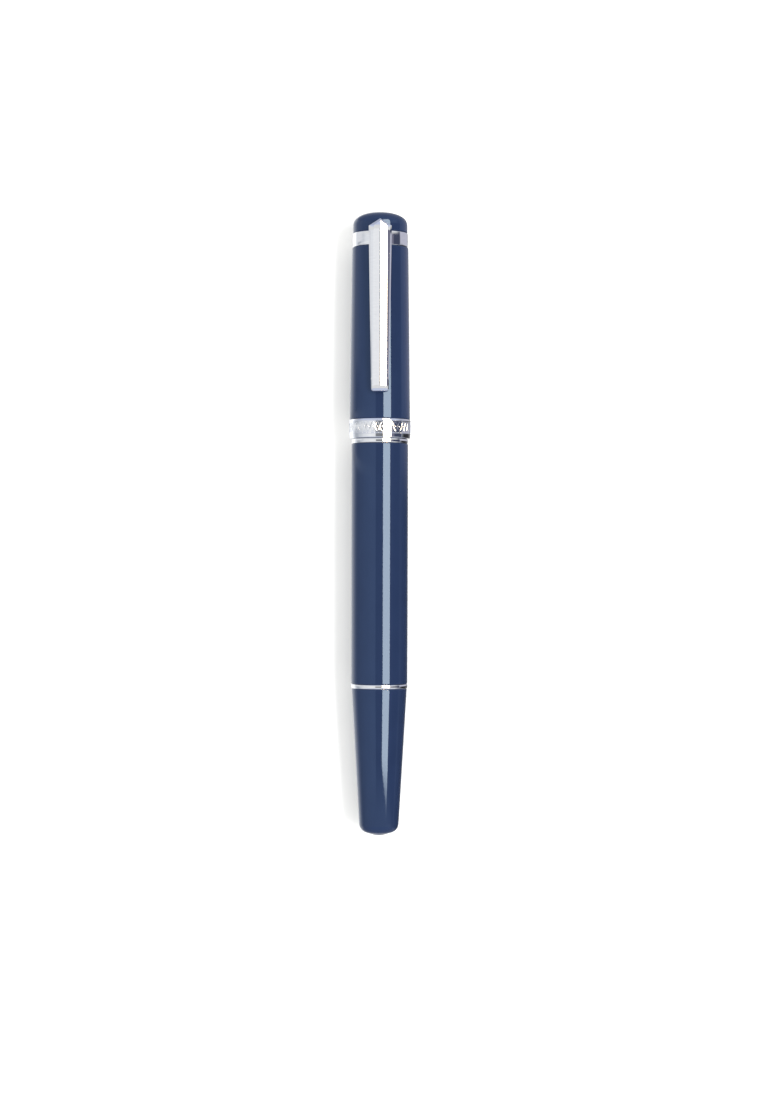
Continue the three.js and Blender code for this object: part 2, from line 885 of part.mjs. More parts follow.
const restingHeight = (bandRadius + friezeHeight) * Math.cos(Math.PI / shellSides);
pen.position.set(0, -penLength / 2, restingHeight);

export default pen;
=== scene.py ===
# A capped rollerball pen, lacquered and chromed, lying on a pale table with its clip on top.
#
# The pen's axis runs along Y, with the crown at +Y and the tail at -Y, and Z is up. Every turned
# piece starts from the outline of its own node, so that it fits its neighbours, and gets softened
# edges, threads and ornament here.

import json
import math
from contextlib import contextmanager
from types import SimpleNamespace

import bmesh
import bpy
import numpy as np
from mathutils import Matrix, Vector

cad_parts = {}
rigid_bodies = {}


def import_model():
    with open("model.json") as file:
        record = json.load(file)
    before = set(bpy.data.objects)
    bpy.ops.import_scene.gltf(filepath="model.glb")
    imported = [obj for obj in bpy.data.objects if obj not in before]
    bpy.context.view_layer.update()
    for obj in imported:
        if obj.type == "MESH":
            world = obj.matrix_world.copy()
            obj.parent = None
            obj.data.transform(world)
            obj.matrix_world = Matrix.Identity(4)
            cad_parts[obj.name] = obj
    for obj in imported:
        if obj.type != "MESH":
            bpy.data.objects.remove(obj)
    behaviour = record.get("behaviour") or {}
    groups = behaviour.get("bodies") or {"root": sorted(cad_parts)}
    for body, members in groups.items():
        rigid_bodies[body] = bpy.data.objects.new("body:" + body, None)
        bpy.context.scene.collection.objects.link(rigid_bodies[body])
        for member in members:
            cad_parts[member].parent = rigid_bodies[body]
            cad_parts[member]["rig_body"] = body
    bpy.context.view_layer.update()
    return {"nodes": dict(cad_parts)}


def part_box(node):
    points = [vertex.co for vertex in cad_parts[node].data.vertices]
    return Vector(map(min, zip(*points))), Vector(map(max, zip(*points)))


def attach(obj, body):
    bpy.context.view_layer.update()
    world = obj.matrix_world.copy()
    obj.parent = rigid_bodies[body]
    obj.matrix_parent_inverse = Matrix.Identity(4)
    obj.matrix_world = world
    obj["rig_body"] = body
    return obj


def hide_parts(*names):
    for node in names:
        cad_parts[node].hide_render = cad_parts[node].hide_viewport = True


MM = 0.001

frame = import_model()


# ---------------------------------------------------------------- what the pen's own nodes say

def middle(node):
    low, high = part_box(node)
    return (low + high) / 2


AXIS_HEIGHT = middle("barrel_tube").z


def stations(node):
    """Where a node starts and ends along the pen."""
    low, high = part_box(node)
    return low.y, high.y


def from_axis(point):
    return math.hypot(point.x, point.z - AXIS_HEIGHT)


def radii(node):
    """The smallest and the largest distance of a node's corners from the pen's axis."""
    reach = [from_axis(v.co) for v in frame["nodes"][node].data.vertices]
    return min(reach), max(reach)


def meridian(node):
    """A turned node's outline as points of station and radius, and whether it closes on itself."""
    solid = bmesh.new()
    solid.from_mesh(frame["nodes"][node].data)
    bmesh.ops.remove_doubles(solid, verts=solid.verts, dist=0.001 * MM)
    on_axis = []
    lines = {}
    for v in solid.verts:
        if from_axis(v.co) < 0.001 * MM:
            on_axis.append(v)
        else:
            angle = round(math.atan2(v.co.x, v.co.z - AXIS_HEIGHT), 2)
            lines.setdefault(angle, []).append(v)
    line = set(max(lines.values(), key=len)) | set(on_axis)
    beside = {v: [] for v in line}
    for edge in solid.edges:
        a, b = edge.verts
        if a in line and b in line:
            beside[a].append(b)
            beside[b].append(a)
    ends = [v for v in line if len(beside[v]) == 1]
    first = min(ends or line, key=lambda v: (v.co.y, from_axis(v.co)))
    walk = [first]
    while True:
        onward = [v for v in beside[walk[-1]] if v not in walk]
        if not onward:
            break
        walk.append(min(onward, key=lambda v: (v.co.y, -from_axis(v.co))))
    outline = [Vector((v.co.y, from_axis(v.co))) for v in walk]
    solid.free()
    return outline, not ends


# ---------------------------------------------------------------- outlines

def outline_of(*places):
    return [Vector(place) for place in places]


SOFT_TURN = math.radians(50)
ARC_STEP = math.radians(4)
EDGE = 0.05 * MM
HOLD = 0.08 * MM


def softened(outline, closed, edge=EDGE):
    """Rounds an outline: its gentle corners flow into each other, its hard ones get a small radius."""
    points = []
    for i, corner in enumerate(outline):
        if not closed and i in (0, len(outline) - 1):
            points.append(corner.copy())
            continue
        back = outline[i - 1] - corner
        ahead = outline[(i + 1) % len(outline)] - corner
        turn = math.pi - back.angle(ahead)
        reach = min(back.length, ahead.length) / 2
        steps = max(1, math.ceil(turn / ARC_STEP))
        hard = turn > SOFT_TURN
        if hard:
            reach = min(reach * 0.9, edge)
            steps = 5
        start = corner + back.normalized() * reach
        end = corner + ahead.normalized() * reach
        if hard and back.length > 2 * (reach + HOLD):
            points.append(start + back.normalized() * HOLD)
        for k in range(steps + 1):
            t = k / steps
            points.append(start * (1 - t) ** 2 + corner * 2 * t * (1 - t) + end * t ** 2)
        if hard and ahead.length > 2 * (reach + HOLD):
            points.append(end + ahead.normalized() * HOLD)
    kept = [points[0]]
    for point in points[1:]:
        if (point - kept[-1]).length > 0.0005 * MM:
            kept.append(point)
    if closed and (kept[0] - kept[-1]).length < 0.0005 * MM:
        kept.pop()
    return kept


def ruled(outline, closed, start, stop, radius, step):
    """Adds points along an outline's straight run at a radius, close enough to carry a thread."""
    count = len(outline)
    points = []
    for i, point in enumerate(outline):
        points.append(point)
        if not closed and i == count - 1:
            break
        after = outline[(i + 1) % count]
        level = abs(point.y - radius) < 0.002 * MM and abs(after.y - radius) < 0.002 * MM
        if not level or abs(after.x - point.x) < 2 * step:
            continue
        inner = np.arange(start, stop + step / 2, step)
        low, high = sorted((point.x, after.x))
        run = [s for s in inner if low + step / 4 < s < high - step / 4]
        if after.x < point.x:
            run.reverse()
        points.extend(Vector((s, radius)) for s in run)
    return points


# ---------------------------------------------------------------- node trees

class Value:
    """A number in a node tree, on which sums and products become further nodes."""

    def __init__(self, nodes, socket):
        self.nodes = nodes
        self.socket = socket

    def __add__(self, other):
        return self.nodes.math("ADD", self, other)

    def __sub__(self, other):
        return self.nodes.math("SUBTRACT", self, other)

    def __rsub__(self, other):
        return self.nodes.math("SUBTRACT", other, self)

    def __mul__(self, other):
        return self.nodes.math("MULTIPLY", self, other)

    def __truediv__(self, other):
        return self.nodes.math("DIVIDE", self, other)


class Nodes:
    """A node tree of any kind, built one node at a time."""

    def __init__(self, tree):
        self.tree = tree

    def add(self, kind, inputs=None, **settings):
        made = self.tree.nodes.new(kind)
        for key, value in settings.items():
            setattr(made, key, value)
        for key, value in (inputs or {}).items():
            if isinstance(value, Value):
                value = value.socket
            if isinstance(value, bpy.types.NodeSocket):
                self.tree.links.new(value, made.inputs[key])
            else:
                made.inputs[key].default_value = value
        return made

    def value(self, kind, inputs=None, **settings):
        return Value(self, self.add(kind, inputs, **settings).outputs[0])

    def math(self, operation, *values):
        return self.value("ShaderNodeMath", dict(enumerate(values)), operation=operation)

    def ramp(self, value, low, high, to_low=0.0, to_high=1.0, kind="SMOOTHSTEP"):
        """Turns a value from one level to another, smoothly unless told otherwise."""
        inputs = {"Value": value, "From Min": low, "From Max": high,
                  "To Min": to_low, "To Max": to_high}
        return self.value("ShaderNodeMapRange", inputs, interpolation_type=kind)

    def between(self, value, rise, top, drop, end):
        """One between two levels of a value, falling to nothing on either side."""
        return self.ramp(value, rise, top) * self.ramp(value, drop, end, 1.0, 0.0)

    def parts(self, vector):
        outputs = self.add("ShaderNodeSeparateXYZ", {0: vector}).outputs
        return [Value(self, part) for part in outputs]

    def mix(self, share, a, b):
        """Blends two colours, each a tuple or a socket."""
        a, b = ((*c, 1) if isinstance(c, tuple) else c for c in (a, b))
        return self.add("ShaderNodeMix", {0: share, 6: a, 7: b}, data_type="RGBA").outputs[2]


class Tree(Nodes):
    """A geometry tree with named inputs, which are at hand as its given values."""

    def __init__(self, name, geometry_in, **inputs):
        super().__init__(bpy.data.node_groups.new(name, "GeometryNodeTree"))
        kinds = {float: "NodeSocketFloat", int: "NodeSocketInt", str: "NodeSocketMaterial"}
        if geometry_in:
            self.socket("Geometry", "INPUT", "NodeSocketGeometry")
        self.identifiers = {}
        for key, kind in inputs.items():
            title = key.replace("_", " ").capitalize()
            self.identifiers[key] = self.socket(title, "INPUT", kinds[kind]).identifier
        self.socket("Geometry", "OUTPUT", "NodeSocketGeometry")
        sockets = list(self.add("NodeGroupInput").outputs)
        self.geometry = sockets.pop(0) if geometry_in else None
        self.given = SimpleNamespace(**{
            key: Value(self, socket) for key, socket in zip(inputs, sockets)})

    def socket(self, title, way, kind):
        return self.tree.interface.new_socket(name=title, in_out=way, socket_type=kind)

    def vector(self, x, y, z):
        return self.add("ShaderNodeCombineXYZ", {0: x, 1: y, 2: z}).outputs[0]

    def position(self):
        return self.add("GeometryNodeInputPosition").outputs[0]

    def about_axis(self, angle, radius, along):
        """The point at an angle round the pen's axis, a radius from it, and a station along it."""
        height = radius * self.math("COSINE", angle) + self.given.axis_height
        return self.vector(radius * self.math("SINE", angle), along, height)

    def moved(self, geometry, position):
        inputs = {"Geometry": geometry, "Position": position}
        return self.add("GeometryNodeSetPosition", inputs).outputs[0]

    def on_points(self, points, instance, angle):
        """A copy of a shape on each point, turned round the pen's axis."""
        turned = self.vector(0.0, angle, 0.0)
        inputs = {"Points": points, "Instance": instance, "Rotation": turned}
        return self.add("GeometryNodeInstanceOnPoints", inputs).outputs[0]

    def finish(self, geometry, smooth=True):
        whole = self.add("GeometryNodeRealizeInstances", {0: geometry}).outputs[0]
        if smooth:
            whole = self.add("GeometryNodeSetShadeSmooth", {"Geometry": whole}).outputs[0]
        inputs = {"Geometry": whole, "Material": self.given.material}
        painted = self.add("GeometryNodeSetMaterial", inputs).outputs[0]
        self.add("NodeGroupOutput", {0: painted})
        return self

    def onto(self, piece, **values):
        """Puts the tree on a piece as a modifier, with a value for each of its inputs."""
        modifier = piece.modifiers.new(self.tree.name, "NODES")
        modifier.node_group = self.tree
        for key, value in values.items():
            modifier[self.identifiers[key]] = value


TURN = 2 * math.pi


def spun_outline_tree():
    """Spins an outline, given as a line of corners in the YZ plane, once round the pen's axis."""
    t = Tree("Spun outline", True, sides=int, axis_height=float, material=str)
    corners = t.add("GeometryNodeAttributeDomainSize", {0: t.geometry}).outputs["Point Count"]
    across = t.given.sides + 1
    grid = t.add("GeometryNodeMeshGrid", {"Vertices X": across, "Vertices Y": corners}).outputs[0]
    index = t.value("GeometryNodeInputIndex")
    side = t.math("FLOOR", (index + 0.5) / corners)
    sample = t.add("GeometryNodeSampleIndex",
                   {"Geometry": t.geometry, "Index": t.math("MODULO", index, corners)},
                   data_type="FLOAT_VECTOR", domain="POINT")
    t.tree.links.new(t.position(), next(s for s in sample.inputs if s.name == "Value" and s.enabled))
    found = next(s for s in sample.outputs if s.name == "Value" and s.enabled)
    _, along, radius = t.parts(found)
    wall = t.moved(grid, t.about_axis(side * TURN / t.given.sides, radius, along))
    merged = t.add("GeometryNodeMergeByDistance", {"Geometry": wall, "Distance": 0.0001 * MM})
    return t.finish(merged.outputs[0])


def thread_tree():
    """Cuts a screw thread into the turned surface at one radius, between two stations."""
    t = Tree("Screw thread", True, axis_height=float, surface=float, start=float, stop=float,
             pitch=float, depth=float, material=str)
    given = t.given
    x, along, z = t.parts(t.position())
    z = z - given.axis_height
    radius = t.math("SQRT", x * x + z * z)
    angle = t.math("ARCTAN2", x, z)
    phase = t.math("FRACT", (along - given.start) / given.pitch - angle / TURN)
    root = t.ramp(t.math("ABSOLUTE", phase * 2 - 1), 0.12, 0.88, 1.0, 0.0)
    run = t.between(along, given.start, given.start + given.pitch,
                    given.stop - given.pitch, given.stop)
    on_surface = t.math("LESS_THAN", t.math("ABSOLUTE", radius - given.surface), 0.003 * MM)
    cut = root * on_surface * run * given.depth
    return t.finish(t.moved(t.geometry, t.about_axis(angle, radius - cut, along)))


def swept_wire(t, place_of, sides, capped):
    """A round wire along a line of points, each placed by its share of the way along."""
    line = t.add("GeometryNodeMeshLine", {"Count": t.given.steps + 1}).outputs[0]
    share = t.value("GeometryNodeInputIndex") / t.given.steps
    curve = t.add("GeometryNodeMeshToCurve", {0: t.moved(line, place_of(share))}).outputs[0]
    circle = t.add("GeometryNodeCurvePrimitiveCircle",
                   {"Resolution": sides, "Radius": t.given.wire_radius}).outputs[0]
    inputs = {"Curve": curve, "Profile Curve": circle, "Fill Caps": capped}
    return t.finish(t.add("GeometryNodeCurveToMesh", inputs).outputs[0])


def coil_tree():
    """A coil spring of round wire, with its last turn at each end wound close."""
    t = Tree("Coil spring", False, axis_height=float, coil_radius=float, wire_radius=float,
             turns=float, close_turns=float, start=float, stop=float, steps=int, material=str)
    given = t.given

    def place(share):
        turn = share * given.turns
        pitch = given.wire_radius * 2.1
        low = t.math("MINIMUM", turn, given.close_turns) * pitch
        high = t.math("MAXIMUM", turn - (given.turns - given.close_turns), 0.0) * pitch
        both_ends = given.close_turns * 2
        room = given.stop - given.start - both_ends * pitch
        open_share = (turn - given.close_turns) / (given.turns - both_ends)
        open_share = t.math("MINIMUM", t.math("MAXIMUM", open_share, 0.0), 1.0)
        along = given.start + (low + high + open_share * room)
        return t.about_axis(turn * TURN, given.coil_radius, along)

    return swept_wire(t, place, 12, True)


def braid_tree():
    """One strand of the frieze: a wire that waves round the band, over and under its twin."""
    t = Tree("Frieze strand", False, axis_height=float, ground_radius=float, wire_radius=float,
             centre=float, swing=float, waves=int, phase=float, lift=float, steps=int, material=str)
    given = t.given

    def place(share):
        angle = share * TURN
        swung = angle * given.waves + given.phase
        along = given.centre + given.swing * t.math("SINE", swung)
        radius = given.ground_radius + t.math("COSINE", swung) * given.lift
        return t.about_axis(angle, radius, along)

    return swept_wire(t, place, 8, False)


def ring_points(t):
    """Points for each copy round the axis, with each one's angle."""
    points = t.add("GeometryNodeMeshLine", {"Count": t.given.count}).outputs[0]
    turn = t.value("GeometryNodeInputIndex") * TURN / t.given.count
    return points, turn + t.given.turned


def studs_tree():
    """Small round studs set round the pen's axis."""
    t = Tree("Ring of studs", False, axis_height=float, count=int, radius=float, along=float,
             stud_radius=float, stud_height=float, turned=float, material=str)
    given = t.given
    points, angle = ring_points(t)
    points = t.moved(points, t.about_axis(angle, given.radius, given.along))
    ball = t.add("GeometryNodeMeshUVSphere", {"Segments": 10, "Rings": 6, "Radius": 1.0}).outputs[0]
    size = t.vector(given.stud_radius, given.stud_radius, given.stud_height)
    stud = t.add("GeometryNodeTransform", {"Geometry": ball, "Scale": size}).outputs[0]
    return t.finish(t.on_points(points, stud, angle))


def ribs_tree():
    """Straight ribs along the pen, set round a turned surface, lower towards their far end."""
    t = Tree("Ring of ribs", False, axis_height=float, count=int, root=float, near_top=float,
             far_top=float, start=float, stop=float, width=float, turned=float, material=str)
    given = t.given
    points, angle = ring_points(t)
    points = t.moved(points, t.vector(0.0, 0.0, given.axis_height))
    bar = t.add("GeometryNodeMeshCube", {"Size": (1.0, 1.0, 1.0)}).outputs[0]
    x, y, z = t.parts(t.position())
    share = y + 0.5
    top = (1.0 - share) * given.near_top + share * given.far_top
    is_top = t.math("GREATER_THAN", z, 0.0)
    height = given.root + is_top * (top - given.root)
    across = x * given.width * (1.0 - is_top * 0.35)
    along = given.start + share * (given.stop - given.start)
    rib = t.moved(bar, t.vector(across, along, height))
    return t.finish(t.on_points(points, rib, angle), smooth=False)


spun_outline = spun_outline_tree()
screw_thread = thread_tree()
coil_spring = coil_tree()
frieze_strand = braid_tree()
ring_of_studs = studs_tree()
ring_of_ribs = ribs_tree()


# ---------------------------------------------------------------- finishes

def emptied(owner):
    """The node tree of a material or a world, with nothing in it."""
    owner.use_nodes = True
    owner.node_tree.nodes.clear()
    return Nodes(owner.node_tree)


def grain(nodes, size, detail=3.0):
    """Noise on the piece's own coordinates, with a grain of this size in millimetres per axis."""
    place = nodes.add("ShaderNodeTexCoord").outputs["Object"]
    scale = tuple(1 / (s * MM) for s in size)
    scaled = nodes.add("ShaderNodeMapping", {"Vector": place, "Scale": scale}).outputs[0]
    return nodes.add("ShaderNodeTexNoise", {
        "Vector": scaled, "Scale": 1.0, "Detail": detail, "Roughness": 0.55}).outputs["Fac"]


finishes = {}


def finish(name, colours, colour_grain, rough, rough_grain, relief, relief_grain, **gloss):
    """Makes a finish whose colour, gloss and relief each vary over their own grain."""
    material = finishes[name] = bpy.data.materials.new(name)
    nodes = emptied(material)
    spread = nodes.ramp(grain(nodes, colour_grain), 0.3, 0.7, kind="LINEAR")
    roughness = nodes.ramp(grain(nodes, rough_grain), 0.3, 0.7, *rough, kind="LINEAR")
    bump = nodes.add("ShaderNodeBump", {
        "Height": grain(nodes, relief_grain, detail=2.0), "Distance": relief * MM, "Strength": 1.0})
    surface = nodes.add("ShaderNodeBsdfPrincipled", {
        "Base Color": nodes.mix(spread, *colours), "Roughness": roughness,
        "Normal": bump.outputs[0]})
    for key, value in gloss.items():
        surface.inputs[key.replace("_", " ")].default_value = value
    nodes.add("ShaderNodeOutputMaterial", {0: surface.outputs[0]})


ROUND = (6.0, 0.12, 6.0)
ALONG = (0.3, 8.0, 0.3)

finish("navy_lacquer", [(0.0122, 0.0211, 0.0530), (0.0132, 0.0228, 0.0570)], (3.0, 5.0, 3.0),
       (0.020, 0.045), (0.8, 0.8, 0.8), 0.0016, (1.6, 1.9, 1.6),
       IOR=1.5, Specular_Tint=(0.42, 0.62, 1.0, 1.0))
finish("chrome", [(0.79, 0.80, 0.83), (0.84, 0.85, 0.87)], (1.5, 0.3, 1.5),
       (0.035, 0.075), ROUND, 0.0006, (0.9, 0.25, 0.9), Metallic=1.0)
finish("brass", [(0.62, 0.45, 0.19), (0.74, 0.57, 0.27)], (1.2, 0.5, 1.2),
       (0.18, 0.34), ROUND, 0.003, ROUND, Metallic=1.0)
finish("steel", [(0.50, 0.51, 0.53), (0.62, 0.63, 0.65)], (0.6, 0.3, 0.6),
       (0.16, 0.30), ROUND, 0.0015, ROUND, Metallic=1.0)
finish("black_plastic", [(0.008, 0.009, 0.011), (0.013, 0.014, 0.017)], (2.0, 2.0, 2.0),
       (0.16, 0.28), (0.5, 0.5, 0.5), 0.003, (0.25, 0.25, 0.25), IOR=1.5)
finish("grey_plastic", [(0.10, 0.11, 0.13), (0.13, 0.14, 0.16)], (1.5, 1.5, 1.5),
       (0.30, 0.45), (0.4, 0.4, 0.4), 0.004, (0.2, 0.2, 0.2), IOR=1.5)
finish("white_plastic", [(0.72, 0.73, 0.71), (0.80, 0.81, 0.79)], (2.5, 9.0, 2.5),
       (0.28, 0.42), ALONG, 0.003, ALONG, IOR=1.5, Subsurface_Weight=0.25,
       Subsurface_Radius=(0.0006, 0.0006, 0.0006), Subsurface_Scale=1.0)
finish("ink_fibre", [(0.010, 0.016, 0.060), (0.035, 0.050, 0.140)], (0.08, 1.5, 0.08),
       (0.70, 0.92), (0.08, 1.0, 0.08), 0.02, (0.07, 1.2, 0.07))
finish("rubber", [(0.010, 0.010, 0.011), (0.020, 0.020, 0.021)], (0.5, 0.5, 0.5),
       (0.55, 0.70), (0.2, 0.2, 0.2), 0.006, (0.08, 0.08, 0.08))
finish("table_paper", [(0.84, 0.84, 0.845), (0.86, 0.86, 0.865)], (14, 14, 14),
       (0.8, 0.95), (2.0, 2.0, 2.0), 0.01, (0.6, 0.6, 0.6), Specular_IOR_Level=0.0)


# ---------------------------------------------------------------- making and placing pieces

CREASE = math.radians(35)
SEAM = 0.0002 * MM
WIDE = 160
MEDIUM = 112
SMALL = 64


def new_object(name, data=None):
    """An object of its own mesh, lamp or camera, or of an empty mesh."""
    made = bpy.data.objects.new(name, data or bpy.data.meshes.new(name))
    bpy.context.scene.collection.objects.link(made)
    return made


def line_piece(name, line):
    mesh = bpy.data.meshes.new(name)
    edges = [(i, i + 1) for i in range(len(line) - 1)]
    mesh.from_pydata([(0, c.x, c.y) for c in line], edges, [])
    return new_object(name, mesh)


def made_plain(piece):
    """Turns a piece and its modifiers into one plain mesh."""
    bpy.context.view_layer.update()
    graph = bpy.context.evaluated_depsgraph_get()
    mesh = bpy.data.meshes.new_from_object(piece.evaluated_get(graph), depsgraph=graph)
    piece.modifiers.clear()
    old = piece.data
    piece.data = mesh
    bpy.data.meshes.remove(old)
    return piece


@contextmanager
def opened(mesh):
    """Opens a mesh for shaping, and keeps what was done to it."""
    solid = bmesh.new()
    solid.from_mesh(mesh)
    yield solid
    solid.to_mesh(mesh)
    solid.free()


def tidied(piece):
    """Closes a piece's seams, turns its faces outwards, and keeps only its real edges sharp."""
    with opened(piece.data) as solid:
        bmesh.ops.remove_doubles(solid, verts=solid.verts, dist=SEAM)
        bmesh.ops.dissolve_degenerate(solid, edges=solid.edges, dist=SEAM)
        if solid.calc_volume(signed=True) < 0:
            bmesh.ops.reverse_faces(solid, faces=solid.faces)
        for face in solid.faces:
            face.smooth = True
    piece.data.set_sharp_from_angle(angle=CREASE)
    return piece


def joined(name, slot, pieces):
    """One piece made of several closed shells."""
    mesh = bpy.data.meshes.new(name)
    with opened(mesh) as whole:
        for piece in pieces:
            whole.from_mesh(piece.data)
    mesh.materials.append(finishes[slot])
    mesh.polygons.foreach_set("material_index", [0] * len(mesh.polygons))
    for piece in pieces:
        bpy.data.objects.remove(piece)
    return new_object(name, mesh)


def placed(piece, node, slot):
    """Gives a finished piece the place of its node."""
    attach(piece, frame["nodes"][node]["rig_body"])
    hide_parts(node)
    return piece


def spun(name, outline, closed, sides, slot, threads=()):
    """A turned piece, with any threads given as (surface radius, start, stop, pitch, depth)."""
    for surface, start, stop, pitch, depth in threads:
        outline = ruled(outline, closed, start, stop, surface, pitch / 8)
    if closed:
        outline = outline + outline[:1]
    piece = line_piece(name, outline)
    material = finishes[slot]
    spun_outline.onto(piece, sides=sides, axis_height=AXIS_HEIGHT, material=material)
    for surface, start, stop, pitch, depth in threads:
        screw_thread.onto(piece, axis_height=AXIS_HEIGHT, surface=surface, start=start, stop=stop,
                          pitch=pitch, depth=depth, material=material)
    return tidied(made_plain(piece))


def spun_like(node, name, slot, sides=MEDIUM, edge=EDGE, threads=()):
    """A turned piece that follows its node's outline, with its edges softened."""
    outline, closed = meridian(node)
    return spun(name, softened(outline, closed, edge), closed, sides, slot, threads)


def turned(node, name, slot, sides=MEDIUM, edge=EDGE, threads=()):
    """A turned piece like its node, in the node's place."""
    placed(spun_like(node, name, slot, sides, edge, threads), node, slot)


def patterned(name, tree, slot, **values):
    """A piece made wholly by a tree."""
    piece = new_object(name)
    tree.onto(piece, axis_height=AXIS_HEIGHT, material=finishes[slot], **values)
    return tidied(made_plain(piece))


def crowned_ring(node, name, crown, edge):
    """A trim ring whose outside bulges between two rounded edges."""
    inner, outer = radii(node)
    start, stop = stations(node)
    steps = 8
    rim = []
    for i in range(steps + 1):
        share = i / steps
        bulge = 1 - (2 * share - 1) ** 2
        along = start + edge + (stop - start - 2 * edge) * share
        rim.append((along, outer - crown * (1 - bulge)))
    foot = outer - crown - edge
    outline = outline_of((start, inner), (start, foot), *rim, (stop, foot), (stop, inner))
    return spun(name, softened(outline, True), True, WIDE, "chrome")


def trim(node, name, crown, edge):
    placed(crowned_ring(node, name, crown, edge), node, "chrome")


# ---------------------------------------------------------------- tail and barrel

NOSE_EDGE = 0.07 * MM
NECK_PITCH = 0.6 * MM
MOUTH_PITCH = 0.75 * MM
STUD_PITCH = 0.5 * MM
KNURL_OFFSETS = (1.2 * MM, 4.6 * MM)
KNURL_LENGTH = 2 * MM


def make_barrel():
    socket = radii("tail_ring")[0]
    neck_from, neck_to = stations("rear_bush")[0], stations("tail_ring")[0]
    inner_thread = (socket, neck_from, neck_to - 0.5 * MM, NECK_PITCH, -0.2 * MM)
    turned("tail_cone", "tail", "navy_lacquer", WIDE, threads=[inner_thread])
    trim("tail_ring", "tail_trim", 0.07 * MM, 0.10 * MM)
    turned("barrel_tube", "barrel", "navy_lacquer", WIDE)
    trim("barrel_front_ring", "barrel_trim", 0.06 * MM, 0.10 * MM)

    bore = min(p.y for p in meridian("front_bush")[0])
    start, stop = stations("front_bush")[0], stations("section_seal")[0]
    mouth_thread = (bore, start + 0.3 * MM, stop - 0.2 * MM, MOUTH_PITCH, -0.25 * MM)
    turned("front_bush", "mouth_bush", "brass", threads=[mouth_thread])

    outer_thread = (socket - 0.08 * MM, neck_from + 0.2 * MM, neck_to, NECK_PITCH, 0.22 * MM)
    bush = spun_like("rear_bush", "bush_body", "brass", threads=[outer_thread])
    radius, shoulder = radii("rear_bush")[1], stations("barrel_tube")[0]
    ridge = radius + 0.05 * MM
    knurls = []
    for i, offset in enumerate(KNURL_OFFSETS):
        start = shoulder + offset
        knurls.append(patterned(
            f"knurl_{i}", ring_of_ribs, "brass", count=60, root=radius - 0.1 * MM, near_top=ridge,
            far_top=ridge, start=start, stop=start + KNURL_LENGTH, width=0.34 * MM, turned=0.0))
    placed(joined("tail_bush", "brass", [bush, *knurls]), "rear_bush", "brass")

    turned("spring_seat", "spring_cup", "grey_plastic")
    low, high = stations("refill_spring")
    wire = 0.3 * MM
    coil = patterned("spring", coil_spring, "steel", coil_radius=radii("refill_spring")[1] - wire,
                     wire_radius=wire, turns=6.5, close_turns=1.0, start=low + wire,
                     stop=high - wire, steps=416)
    placed(coil, "refill_spring", "steel")


# ---------------------------------------------------------------- grip section and refill

def make_section():
    turned("section_seal", "seal", "rubber")
    radius = radii("section_tenon")[1]
    start, collar = stations("section_tenon")[0], stations("section_collar")[0]
    grip, stop = stations("grip_section")[0], stations("section_tenon")[1]
    runs = [(start + 0.2 * MM, collar - 0.7 * MM), (grip + 0.3 * MM, stop - 0.3 * MM)]
    threads = [(radius, *run, MOUTH_PITCH, 0.28 * MM) for run in runs]
    turned("section_tenon", "tenon", "brass", threads=threads)
    trim("section_collar", "collar", 0.03 * MM, 0.12 * MM)
    turned("grip_section", "grip", "black_plastic", WIDE)
    turned("section_nose", "nose_cone", "chrome", WIDE, NOSE_EDGE)


def make_refill():
    turned("refill_tube", "cartridge", "white_plastic")
    plug = spun_like("refill_plug", "plug_body", "grey_plastic")
    radius, start = radii("refill_plug")[1], stations("refill_plug")[0]
    ridge = radius + 0.05 * MM
    serration = patterned("plug_serration", ring_of_ribs, "grey_plastic", count=36,
                          root=radius - 0.15 * MM, near_top=ridge, far_top=ridge,
                          start=start + 0.2 * MM, stop=start + 0.8 * MM, width=0.28 * MM,
                          turned=0.0)
    placed(joined("cartridge_plug", "grey_plastic", [plug, serration]), "refill_plug", "grey_plastic")
    turned("ink_reservoir", "ink_rod", "ink_fibre")
    turned("feed_wick", "wick", "ink_fibre", SMALL)
    turned("refill_nose", "cartridge_nose", "grey_plastic")
    turned("refill_tip", "tip", "steel", SMALL, 0.03 * MM)

    low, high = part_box("writing_ball")
    centre, radius = (low + high).y / 2, (high - low).y / 2
    steps = 24
    arc = [Vector((centre - radius * math.cos(math.pi * i / steps),
                   radius * math.sin(math.pi * i / steps))) for i in range(steps + 1)]
    arc[0].y = arc[-1].y = 0
    placed(spun("ball", arc, False, 48, "steel"), "writing_ball", "steel")


# ---------------------------------------------------------------- cap

FIELD_FROM = 1.08 * MM
FIELD_TO = 3.76 * MM
BORDER = 0.12 * MM
FIELD_DEPTH = 0.07 * MM


def band_outline():
    """The band's outline: a rounded lip, a sunk field between two borders, and a sloping top."""
    node_outline = meridian("cap_band")[0]
    bore, proud = radii("cap_band")
    lip, neck_end = stations("cap_band")
    band_top = stations("cap_tube")[0] - 0.02 * MM
    neck = max(p.y for p in node_outline if p.x > band_top + 0.5 * MM)
    ground = proud - FIELD_DEPTH
    lip_round = 0.2 * MM
    lip_radius = ground - 0.07 * MM - lip_round
    rounding = []
    steps = 9
    for i in range(1, steps + 1):
        angle = math.pi / 2 * (1 - i / steps)
        rounding.append(Vector((lip + lip_round * (1 - math.sin(angle)),
                                lip_radius + lip_round * math.cos(angle))))
    field_from, field_to = lip + FIELD_FROM, lip + FIELD_TO
    above = [
        (field_from - BORDER - 0.04 * MM, ground), (field_from - BORDER, proud),
        (field_from, proud), (field_from + 0.06 * MM, ground),
        (field_to - 0.06 * MM, ground), (field_to, proud), (field_to + 0.08 * MM, proud),
        (band_top - 0.03 * MM, proud - 0.14 * MM), (band_top, proud - 0.2 * MM),
        (band_top, neck), (neck_end, neck), (neck_end, bore),
    ]
    return outline_of((lip, bore), (lip, lip_radius)) + rounding + outline_of(*above)


